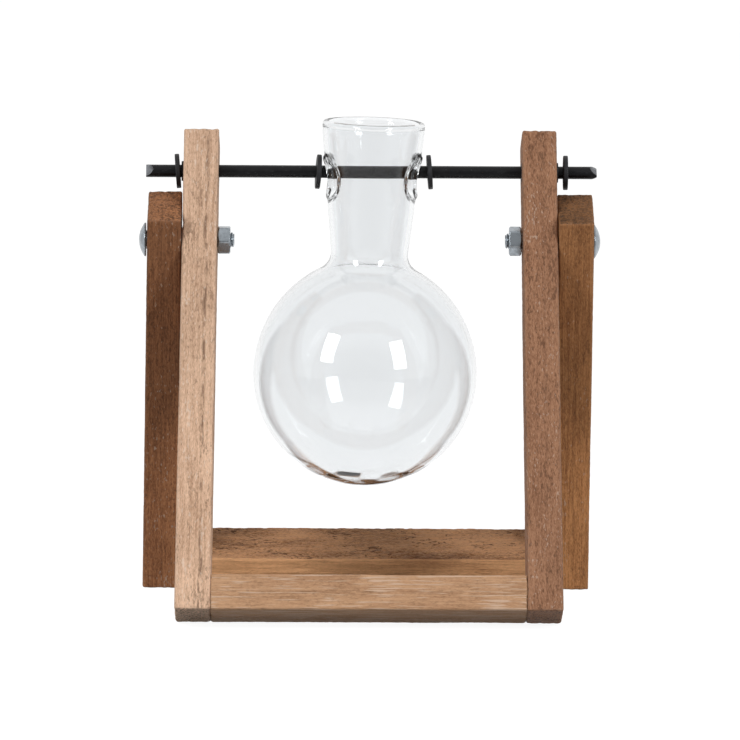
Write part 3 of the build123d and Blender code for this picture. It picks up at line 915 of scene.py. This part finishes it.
def make_bolt(node, side, material):
    """A carriage bolt. Its profile is a dome on a thin round edge, a neck and a shank, turned about
    the bolt's axis. The neck's radius is that of a square, half a side over the larger of cosine
    and sine. The thread takes away a wave that climbs one pitch a turn."""
    s = Sizes(settings("vase_hardware"))
    low, high = box_mm("pivot_bolt_right")
    tip, crown = low[0], high[0]
    seat = crown - s.head_height
    dome = s.head_height - s.head_rim
    ball = (s.head_radius**2 + dome**2) / (2 * dome)
    cap = arc((crown - ball, 0), ball, 0, math.asin(s.head_radius / ball), 0.25)
    edge = rounded([cap[-2], (seat + s.head_rim, s.head_radius), (seat, s.head_radius),
                    (seat, 1.4 * s.bolt_radius), (seat, s.bolt_radius)], HEAD_BEVEL)
    neck_end = seat - s.neck_length
    thread_end = tip + s.thread_length
    shank = np.array([(x, s.bolt_radius) for x in (seat - 0.1, neck_end, neck_end - NECK_EASE,
                                                   (neck_end + thread_end) / 2, thread_end + 1)])
    end = refine(rounded([(thread_end, s.bolt_radius), (tip + 0.55, s.bolt_radius),
                          (tip, 0.8 * s.bolt_radius), (tip, 0.4 * s.bolt_radius), (tip, 0.0)],
                         TIP_BEVEL), 0.09)
    profile = np.vstack([cap, edge[1:], shank, end])
    x, radius = profile[:, :1], profile[:, 1:]
    angle = round_angles(AROUND["bolt"])
    turned = angle + s.neck_turn
    square = s.neck_side / 2 / np.maximum(np.abs(np.cos(turned)), np.abs(np.sin(turned)))
    square = np.minimum(square, NECK_CORNER * s.bolt_radius)
    on_neck = np.clip((x - neck_end + NECK_EASE) / NECK_EASE, 0, 1)
    on_neck = on_neck * (x < seat - 0.05) * (radius > 2)
    on_thread = np.clip(thread_end - x, 0, 1) * np.clip(radius / 1.5 - 0.9, 0, 1)
    wave = (0.5 + 0.5 * np.cos(TURN * (x / s.thread_pitch) + angle)) ** THREAD_POWER
    radius = radius + on_neck * (square - s.bolt_radius) - on_thread * s.thread_depth * wave
    return finish_hardware(node, side, x, radius, angle, material)


def soft_least(first, second, softness):
    """The smaller of two arrays, rounded where they cross: minus the softness times the logarithm
    of the sum of both exponentials."""
    return -softness * np.logaddexp(-first / softness, -second / softness)


def make_nut(node, side, turn, material):
    """A hex nut. Its side is the softened least of a hexagon, half the flats over the cosine from
    the nearest flat's middle, and of a cone that cuts the corners at both ends. The section goes
    along the side, in over one end, through the bore and out over the other end."""
    s = Sizes(settings("vase_hardware"))
    low, high = box_mm("hex_nut_right")
    middle, half = (low[0] + high[0]) / 2, (high[0] - low[0]) / 2
    flat, bore = s.nut_flats / 2, s.bolt_radius + 0.05
    corner, cone_end, cone_slope, lead, steps = 1.145 * flat, 0.975 * flat, 1.75, 0.35, 41
    even = np.linspace(-1, 1, steps)
    side_x = half * np.sign(even) * np.abs(even) ** 0.7
    face = np.linspace(1, 0, 9)[1:-1, None]
    inside_x = np.linspace(half, -half, steps)
    angle = round_angles(AROUND["nut"])
    sixth = TURN / 6
    hexagon = flat / np.cos((angle - turn) % sixth - sixth / 2)
    hexagon = soft_least(hexagon, np.array(corner), CORNER_SOFTNESS)
    cone = cone_end + (half - np.abs(side_x)) * cone_slope
    side_radius = soft_least(*np.broadcast_arrays(hexagon, cone[:, None]), CONE_SOFTNESS)
    inside = bore + lead * np.clip(1 - (half - np.abs(inside_x)) / lead, 0, 1)[:, None]
    inside = np.broadcast_to(inside, (steps, angle.size))
    ends = side_radius[0] * face + inside[0] * (1 - face)
    x = np.concatenate([side_x, np.full(len(ends), half), inside_x, np.full(len(ends), -half)])
    radius = np.vstack([side_radius, ends, inside, ends[::-1]])
    return finish_hardware(node, side, x[:, None] + middle, radius, angle, material, True)


def make_rod(material):
    """The rod: round, and at each end only as thick as the nip leaves it. Where the nip's half
    thickness is h, a direction at an angle a from the nip's own may reach h over the cosine of a.
    The cut mark is 1 on the nipped faces."""
    s = Sizes(settings("vase_hardware"))
    low, high = box_mm("hanging_rod")
    near = np.concatenate([np.linspace(0, s.wedge_length, 27), [3.2, 4.5, 8.0]])
    x = np.concatenate([low[0] + near, np.linspace(low[0] + 12, high[0] - 12, 60),
                        (high[0] - near)[::-1]])[:, None]
    angle = round_angles(AROUND["rod"])
    from_end = np.minimum(x - low[0], high[0] - x)
    thick = s.wedge_tip + from_end / s.wedge_length * (s.rod_radius - s.wedge_tip)
    turn = np.where(x < 0, s.wedge_left, s.wedge_right)
    flat = thick / np.maximum(np.abs(np.cos(angle + turn)), 1e-6)
    radius = np.minimum(s.rod_radius, flat)
    cut = (flat < s.rod_radius - 1e-4).astype(float)
    rings = 4
    inward = (np.arange(rings) / rings)[:, None]
    x = np.vstack([np.full((rings, 1), x[0]), x, np.full((rings, 1), x[-1])])
    radius = np.vstack([radius[:1] * inward, radius, radius[-1:] * inward[::-1]])
    cut = np.pad(cut, ((rings, rings), (0, 0)), constant_values=1.0)
    piece = lay_grid("hanging_rod_drawn", around_x(x, radius, angle, ROD_Y, ROD_Z), cut=cut)
    return finish_piece(piece, "rod", "black_rod", material, "hanging_rod")


def make_washer(node, lean, swing, material):
    """A rubber washer: a rectangle with round corners turned about the rod, then turned about Y by
    its lean and about Z by its swing, as far as its loose bore lets it."""
    s = Sizes(settings("vase_hardware"))
    low, high = box_mm(node)
    middle = np.array([(low[0] + high[0]) / 2, ROD_Y, ROD_Z])
    half = s.washer_thickness / 2
    corners = [(0, s.washer_radius), (half, s.washer_radius), (half, s.washer_bore),
               (-half, s.washer_bore), (-half, s.washer_radius), (0, s.washer_radius)]
    section = refine(rounded(corners, WASHER_BEVEL, 7), 0.35)[:-1]
    ring = around_x(section[:, :1], section[:, 1:], round_angles(AROUND["washer"]), 0, 0)
    c, t = math.cos(lean), math.sin(lean)
    about_y = np.array([(c, 0, -t), (0, 1, 0), (t, 0, c)])
    c, t = math.cos(swing), math.sin(swing)
    about_z = np.array([(c, t, 0), (-t, c, 0), (0, 0, 1)])
    piece = lay_grid(node + "_moulded", ring @ about_y @ about_z + middle, True)
    return finish_piece(piece, node, "black_rubber", material, node)


def make_bush(node, side, material):
    """A rod bush: a sleeve in the leg, whose collar is a little wider than the rest."""
    s = Sizes(settings("vase_hardware"))
    low, high = box_mm("rod_bush_right")
    start, end = low[0] + 0.15, high[0]
    collar = s.bush_radius + 0.02
    corners = [(start, s.bush_bore), (start, s.bush_radius), (end - 0.9, s.bush_radius),
               (end - 0.75, collar), (end, collar), (end, s.bush_bore), (start, s.bush_bore)]
    section = refine(rounded(corners, BUSH_BEVEL, 5), 0.5)[:-1]
    angle = round_angles(AROUND["bush"])
    ring = around_x(section[:, :1], section[:, 1:], angle, ROD_Y, ROD_Z)
    piece = lay_grid(node + "_moulded", mirrored(ring, side), True)
    return finish_piece(piece, "front_frame", "black_rubber", material, node)


# Boards


def even_copy(node, size):
    """A CAD board's mesh, bores and all, merged and laid out again in even faces."""
    mesh = frame["nodes"][node].data.copy()
    work = bmesh.new()
    work.from_mesh(mesh)
    bmesh.ops.remove_doubles(work, verts=work.verts, dist=2e-6)
    work.to_mesh(mesh)
    work.free()
    piece = bpy.data.objects.new(node + "_sawn", mesh)
    bpy.context.scene.collection.objects.link(piece)
    even = piece.modifiers.new("even faces", "REMESH")
    even.mode = "VOXEL"
    even.voxel_size = size
    graph = bpy.context.evaluated_depsgraph_get()
    made = bpy.data.meshes.new_from_object(piece.evaluated_get(graph))
    piece.modifiers.clear()
    piece.data = made
    made.name = node + "_sawn"
    return piece


def board_axes(points):
    """A board's width, depth and length directions, least extent first, as the columns of an
    array: the principal axes of its points, each pointing the way of its largest part."""
    _, axes = np.linalg.eigh(np.cov(points.T))
    largest = np.abs(axes).argmax(axis=0)
    return axes * np.sign(axes[largest, range(3)])


# Each unevenness of a board: its waves' lengths along width, depth and length, and their height
UNEVEN = {"bow": ((9, 9, 60), 0.05), "furrows": ((1.4, 1.4, 16), 0.035),
          "ripples": ((6, 6, 1.5), 0.02), "tears": ((1.5, 1.5, 3), 0.09),
          "wear": ((3, 3, 4), 0.11), "crumbs": ((1.1, 1.1, 3), 0.2)}
# How far in an arris is worn, a sawn end is torn, and an end shows its cut grain
WORN_REACH, TORN_REACH, CUT_REACH = 1.3, 1.6, 0.5
# The least wear of an arris, the most that a crumb stands out, and a nick's length and width
LEAST_WEAR, MOST_CRUMB, NICK_LENGTH, NICK_WIDTH = 0.1, 0.09, 1.5, 3.5
# Where from the middle to the upper end a tip begins to stretch, and over what share it does
TIP_FROM, TIP_SPAN = 0.8, 0.2
# Cosine from the rough way at which a face begins to be rough, and the span to wholly rough
ROUGH_FROM, ROUGH_SPAN = 0.75, 0.15


def make_board(node, body, slot, material, random, look, rough_towards=None):
    """A sawn board: the CAD board with its points moved along their normals by slow waves, by grain
    furrows that run with its length, by saw ripples across it and by torn ends, and with its
    arrises worn down. Its upper end stands a tip's length further out, the face on one side lies
    further in by a trim that runs evenly from top to foot, and a bell-shaped nick is taken out of
    one arris. The marks say where a point lies in the board, and how near an arris, a sawn end or
    the rough face it is."""
    s = settings("vase_wood")
    piece = even_copy(node, s.mesh)
    mesh = piece.data
    count = len(mesh.vertices)
    points, normals = np.empty(count * 3, np.float32), np.empty(count * 3, np.float32)
    mesh.vertices.foreach_get("co", points)
    mesh.vertex_normals.foreach_get("vector", normals)
    points = points.reshape(-1, 3).astype(float) / MM
    normals = normals.reshape(-1, 3).astype(float)
    axes = board_axes(points)
    local = points @ axes
    high, low = local.max(axis=0), local.min(axis=0)
    local = local - (high + low) / 2
    half_width, _, high_end = (high - low) / 2
    inward = (high - low) / 2 - np.abs(local)
    to_arris = np.sort(inward, axis=1)[:, 1]
    edge, torn, cut = (np.clip(1 - far / reach, 0, 1) for far, reach in (
        (to_arris, WORN_REACH), (inward[:, 2], TORN_REACH), (inward[:, 2], CUT_REACH)))
    edge = edge**2

    def uneven(kind):
        return waves(local, *UNEVEN[kind], random)

    push = uneven("bow") + uneven("furrows") + uneven("ripples") + torn * uneven("tears")
    push -= edge * (LEAST_WEAR + np.abs(uneven("wear")))
    rough = np.zeros(count)
    if rough_towards is not None:
        squarely = normals @ np.asarray(rough_towards, float)
        rough = np.clip((squarely - ROUGH_FROM) / ROUGH_SPAN, 0, 1)
        push += rough * np.minimum(uneven("crumbs"), MOST_CRUMB)
    upper = np.clip((local[:, 2] / high_end - TIP_FROM) / TIP_SPAN, 0, 1)
    side, trim_top, trim_foot = look["trim"]
    outer = np.clip(side * local[:, 0] / half_width - 0.5, 0, 0.5) * 2
    from_foot = (local[:, 2] / high_end + 1) / 2
    trim = side * outer * (trim_foot + (trim_top - trim_foot) * from_foot)
    nick_x, nick_z, nick_depth = look["nick"]
    nicked = np.exp(-(((local[:, 2] - nick_z) / NICK_LENGTH) ** 2))
    nicked = nicked * np.clip(1 - np.abs(local[:, 0] - nick_x) / NICK_WIDTH, 0, 1)
    nicked = nicked * (normals @ np.array([0, -1.0, 0]) > -0.3)
    points = points + (upper * look["tip"])[:, None] * axes[:, 2]
    points = points - trim[:, None] * axes[:, 0]
    push = np.minimum(push - nick_depth * nicked, s.proud / MM + rough)
    points = (points + normals * push[:, None]) * MM
    mesh.vertices.foreach_set("co", points.astype(np.float32).ravel())
    set_marks(mesh, board=local * MM, edge=edge, cut=cut, rough=rough)
    mesh.polygons.foreach_set("use_smooth", np.ones(len(mesh.polygons), bool))
    mesh.update()
    return finish_piece(piece, body, slot, material, node)


# Operators


def board_looks():
    """How each board is finished, and how much painted light lifts the lower end of each leg: what
    is common to all, and each board's own traits.
    """
    # foot is how much lighter painted light makes a board's lower end, standing in for light from
    # the floor; 1 paints none
    common = {"spacing": 0.0022, "dash": 0.35, "line_place": 0.0, "line": 0.3, "dark": 0.6,
              "streak": 0.9, "speckle": 3.4, "stain": 1.2, "rings": 0.2, "pit": 0.5,
              "fleck": 0.6, "bleach": 0.6, "edge": 0.5, "end": 0.8, "relief": 0.75,
              "foot": 1.0, "tip": 0.0, "trim": (1, 0.0, 0.0), "nick": (0.0, 0.0, 0.0),
              "fleck_from": 0.68}
    own = {
        "inner_left": {"offset": (0.03, 0.02, 0.1), "line_place": 0.0025, "line": 0.9,
                       "streak": 1.2, "speckle": 2.4, "fleck": 0.5, "fleck_from": 0.63,
                       "dark": 0.62, "foot": 1.14, "tip": 0.4, "trim": (-1, 0.12, 0.0),
                       "nick": (-6.0, 56.4, 0.5)},
        "inner_right": {"offset": (-0.11, 0.05, 0.3), "line_place": 0.0012, "line": 0.3,
                        "speckle": 4.4, "streak": 0.6, "dash": 0.5, "pit": 0.65, "fleck": 0.55,
                        "fleck_from": 0.63, "bleach": 0.35, "edge": 0.9, "tip": 0.3,
                        "trim": (-1, 0.3, 0.0)},
        "front_bar": {"offset": (0.02, 0.055, 0.2), "dash": 0.05, "streak": 1.3, "speckle": 1.6,
                      "fleck": 0.75, "fleck_from": 0.54, "pit": 0.2, "dark": 0.72,
                      "bleach": 0.3},
        "outer_left": {"offset": (0.12, 0.03, 0.7), "speckle": 3.4, "streak": 1.8, "fleck": 0.65,
                       "fleck_from": 0.64, "pit": 0.5, "bleach": 0.35, "end": 1.15, "foot": 1.5,
                       "dark": 0.52, "tip": 1.0, "trim": (-1, 0.6, -0.8)},
        "outer_right": {"offset": (-0.13, 0.06, 0.4), "speckle": 2.8, "streak": 1.8,
                        "fleck": 0.5, "pit": 0.4, "bleach": 0.35, "end": 0.38, "foot": 1.4,
                        "dark": 0.54, "tip": 0.4, "trim": (1, 0.0, 0.4)},
        "rear_bar": {"offset": (0.04, -0.06, 0.5), "streak": 1.2, "speckle": 1.2, "pit": 0.15,
                     "fleck": 0.3, "bleach": 0.2, "dash": 0.08,
                     "weathered": settings("vase_wood").weathered, "relief": 1.0},
    }
    return {name: {**common, **traits} for name, traits in own.items()}


class VASE_OT_boards(Operator):
    """Saws the legs and crossbars"""
    bl_idname = "vase.boards"
    bl_label = "Legs and crossbars"

    BOARDS = (
        ("inner_leg_left", "front_frame", "pale_wood", "inner_left", None),
        ("inner_leg_right", "front_frame", "pale_wood", "inner_right", None),
        ("front_crossbar", "front_frame", "pale_wood", "front_bar", None),
        ("outer_leg_left", "rear_frame", "brown_wood", "outer_left", None),
        ("outer_leg_right", "rear_frame", "brown_wood", "outer_right", None),
        ("rear_crossbar", "rear_frame", "brown_wood", "rear_bar", (0, -0.355, 0.935)),
    )

    def execute(self, context):
        looks = board_looks()
        wood = settings("vase_wood")
        for seed, (node, body, slot, title, rough) in enumerate(self.BOARDS, wood.seed):
            look = looks[title]
            material = wood_material("wood " + title.replace("_", " "), getattr(wood, title), look)
            make_board(node, body, slot, material, np.random.RandomState(seed), look, rough)
        return {"FINISHED"}


class VASE_OT_screws(Operator):
    """Finishes the countersunk screws"""
    bl_idname = "vase.screws"
    bl_label = "Wood screws"

    def execute(self, context):
        base = settings("vase_hardware").steel
        steel = metal_material("dark steel", base, solid(base, 2.4), 0.35, 1.8)
        for place in ("front_screws_left", "front_screws_right", "rear_screws_left",
                      "rear_screws_right"):
            slots = frame["nodes"][place].data.materials
            slots.clear()
            slots.append(steel)
        return {"FINISHED"}


class VASE_OT_bolts(Operator):
    """Turns the pivot bolts and their nuts"""
    bl_idname = "vase.bolts"
    bl_label = "Bolts and nuts"

    def execute(self, context):
        hardware = settings("vase_hardware")
        zinc = metal_material("zinc plate", hardware.zinc, solid(hardware.zinc, 0.72), 0.2, 1.6)
        make_bolt("pivot_bolt_left", -1, zinc)
        make_bolt("pivot_bolt_right", 1, zinc)
        make_nut("hex_nut_left", -1, hardware.nut_left, zinc)
        make_nut("hex_nut_right", 1, hardware.nut_right, zinc)
        return {"FINISHED"}


class VASE_OT_rod(Operator):
    """Makes the rod, its bushes and its rubber washers"""
    bl_idname = "vase.rod"
    bl_label = "Rod, bushes and washers"

    # Each washer's lean about Y and swing about Z, in degrees
    WASHERS = {"outer_washer_left": (-4, 1), "neck_washer_left": (4, 3),
               "neck_washer_right": (-4, 1), "outer_washer_right": (0, 0)}

    def execute(self, context):
        hardware = settings("vase_hardware")
        make_rod(rod_material(hardware.lacquer, hardware.bare))
        rubber = rubber_material(hardware.rubber)
        make_bush("rod_bush_left", -1, rubber)
        make_bush("rod_bush_right", 1, rubber)
        for node, (lean, swing) in self.WASHERS.items():
            make_washer(node, math.radians(lean), math.radians(swing), rubber)
        return {"FINISHED"}


class VASE_OT_flask(Operator):
    """Blows the flask"""
    bl_idname = "vase.flask"
    bl_label = "Glass flask"

    def execute(self, context):
        glass = settings("vase_flask")
        shape = FlaskShape(Sizes(glass))
        piece = shape.build("blown_flask", np.random.RandomState(settings("vase_wood").seed))
        finish_piece(piece, "flask", "clear_glass", glass_material(glass.tint), "glass_flask")
        return {"FINISHED"}


def aim(piece, eye, look, roll=0.0):
    """Places a lamp or camera at a point, looking at another, turned about its own view."""
    ahead = np.asarray(look, float) - np.asarray(eye, float)
    ahead /= np.linalg.norm(ahead)
    right = np.cross(ahead, (0, 0, 1))
    right /= np.linalg.norm(right)
    up = np.cross(right, ahead)
    c, s = math.cos(roll), math.sin(roll)
    matrix = np.eye(4)
    matrix[:3, 0], matrix[:3, 1] = c * right + s * up, -s * right + c * up
    matrix[:3, 2], matrix[:3, 3] = -ahead, eye
    piece.matrix_world = Matrix(matrix.tolist())


class VASE_OT_stage(Operator):
    """Sets the floor, the sky, the soft boxes and the camera"""
    bl_idname = "vase.stage"
    bl_label = "Stage"

    # Bearing from straight in front, to the right, and rise of each soft box, in degrees
    LAMPS = {"soft box left": (-42.1, 27.7), "soft box right": (36.9, 21.9)}
    # What the camera looks at and how high the lamps are aimed, in millimetres
    LOOK = np.array([0.4, 0.0, 90.75])
    LAMP_AIM = 100.0
    # Radii of the floor's rings and the floor's height, in millimetres
    RINGS = (0.0, 400.0, 1200.0, 6000.0)
    FLOOR_HEIGHT = -0.15
    # Y between which the sky, by direction, and the floor, in metres, turn from dim to white
    SKY_FADE, FLOOR_FADE = (-1.0, -0.6), (-0.3, -0.08)

    def execute(self, context):
        scene = context.scene
        scene.view_settings.view_transform = "Standard"
        stage = settings("vase_stage")
        self.sky(scene, stage)
        self.floor(scene, stage)
        self.lamps(scene, stage)
        self.camera(scene, stage)
        return {"FINISHED"}

    def seen(self, tree, path):
        """1 where the white about the object is looked at, straight or in glass and shiny things,
        and 0 where it would light a surface."""
        looked = tree.math("MAXIMUM", path["Is Camera Ray"],
                           tree.math("MAXIMUM", path["Is Glossy Ray"], path["Is Transmission Ray"]))
        return tree.product(looked, tree.rest(tree.math("MINIMUM", path["Diffuse Depth"], 1.0)))

    def shine(self, tree, path, coordinates, low, high, room):
        """How white a thing looks in glass and shiny things: wholly where Y is above high, which
        is behind the object, and by the room's share where it is under low, before it."""
        place = tree.node("ShaderNodeTexCoord").outputs[coordinates]
        behind = tree.ramp(tree.axis(place, "Y"), low, high)
        level = tree.add(tree.product(behind, 1 - room), room)
        return tree.blend(tree.math("MINIMUM", path["Glossy Depth"], 1.0), 1.0, level)

    def sky(self, scene, stage):
        """White where the camera sees it and through glass; in shiny things white behind the object
        and a little darker before it; plain soft light on everything else."""
        scene.world = bpy.data.worlds.new("studio")
        tree = empty_tree(scene.world)
        path = tree.node("ShaderNodeLightPath").outputs
        white = self.shine(tree, path, "Generated", *self.SKY_FADE, stage.room)
        level = tree.blend(self.seen(tree, path), stage.sky, white)
        back = tree.node("ShaderNodeBackground", None, Color=(1, 1, 1, 1), Strength=level)
        tree.node("ShaderNodeOutputWorld", None, Surface=back.outputs[0])

    def floor(self, scene, stage):
        """A pale floor of rings about the object; where the camera, glass or a shiny thing sees it,
        its own white is added, so that it ends white and keeps the object's shadow."""
        angle = round_angles(96)
        rings = np.array(self.RINGS)[:, None]
        grid = np.stack(np.broadcast_arrays(rings * np.cos(angle), rings * np.sin(angle),
                                            self.FLOOR_HEIGHT), axis=-1)
        mesh = bpy.data.meshes.new("floor")
        mesh.from_pydata((grid.reshape(-1, 3) * MM).tolist(), [],
                         grid_faces(len(rings), angle.size, False, True)[:, ::-1].tolist())
        floor = bpy.data.objects.new("floor", mesh)
        scene.collection.objects.link(floor)
        material = bpy.data.materials.new("white floor")
        tree = empty_tree(material)
        path = tree.node("ShaderNodeLightPath").outputs
        seen = tree.product(self.seen(tree, path),
                            self.shine(tree, path, "Object", *self.FLOOR_FADE, stage.room))
        paper = tree.node("ShaderNodeBsdfDiffuse", None, Color=(stage.floor,) * 3 + (1,))
        glow = tree.node("ShaderNodeEmission", None, Color=(1, 1, 1, 1),
                         Strength=tree.product(seen, stage.glow))
        both = tree.put_row(tree.node("ShaderNodeAddShader"), (paper.outputs[0], glow.outputs[0]))
        tree.node("ShaderNodeOutputMaterial", None, Surface=both[0])
        mesh.materials.append(material)

    def lamps(self, scene, stage):
        middle = np.array([0.0, ROD_Y, self.LAMP_AIM]) * MM
        for name, (turn, rise) in self.LAMPS.items():
            lamp = bpy.data.lights.new(name, "AREA")
            lamp.shape = "RECTANGLE"
            lamp.size, lamp.size_y = stage.lamp_width, stage.lamp_height
            lamp.energy = stage.lamp_power
            piece = bpy.data.objects.new(name, lamp)
            scene.collection.objects.link(piece)
            a, e = math.radians(turn), math.radians(rise)
            away = np.array([math.sin(a) * math.cos(e), -math.cos(a) * math.cos(e), math.sin(e)])
            aim(piece, middle + stage.lamp_distance * away, middle)
            piece.visible_camera = False

    def camera(self, scene, stage):
        lens = bpy.data.cameras.new("camera")
        lens.lens, lens.sensor_width = stage.lens, 36.0
        lens.clip_start, lens.clip_end = 0.05, 50.0
        piece = bpy.data.objects.new("camera", lens)
        scene.collection.objects.link(piece)
        flat = math.cos(stage.pitch)
        ahead = np.array([math.sin(stage.yaw) * flat, math.cos(stage.yaw) * flat,
                          -math.sin(stage.pitch)])
        look = self.LOOK * MM
        aim(piece, look - stage.distance * ahead, look, stage.roll)
        scene.camera = piece


class VASE_PT_panel(Panel):
    """Lists the vase's sizes, colours and pieces"""
    bl_idname = "VASE_PT_panel"
    bl_label = "Propagation vase"
    bl_space_type = "VIEW_3D"
    bl_region_type = "UI"
    bl_category = "Vase"

    def draw(self, context):
        for operator in OPERATORS:
            self.layout.operator(operator.bl_idname)
        for title, kind in GROUPS.items():
            box = self.layout.box()
            for name in kind.__annotations__:
                box.prop(getattr(context.scene, title), name)


GROUPS = {"vase_flask": FlaskSettings, "vase_hardware": HardwareSettings,
          "vase_wood": WoodSettings, "vase_stage": StageSettings}
OPERATORS = (VASE_OT_boards, VASE_OT_screws, VASE_OT_bolts, VASE_OT_rod, VASE_OT_flask,
             VASE_OT_stage)
CLASSES = (*GROUPS.values(), *OPERATORS, VASE_PT_panel)


def register():
    for item in CLASSES:
        bpy.utils.register_class(item)
    for title, kind in GROUPS.items():
        setattr(bpy.types.Scene, title, PointerProperty(type=kind))


def unregister():
    for title in GROUPS:
        delattr(bpy.types.Scene, title)
    for item in reversed(CLASSES):
        bpy.utils.unregister_class(item)


def main():
    register()
    bpy.ops.vase.boards()
    bpy.ops.vase.screws()
    bpy.ops.vase.bolts()
    bpy.ops.vase.rod()
    bpy.ops.vase.flask()
    bpy.ops.vase.stage()


if __name__ == "__main__":
    main()
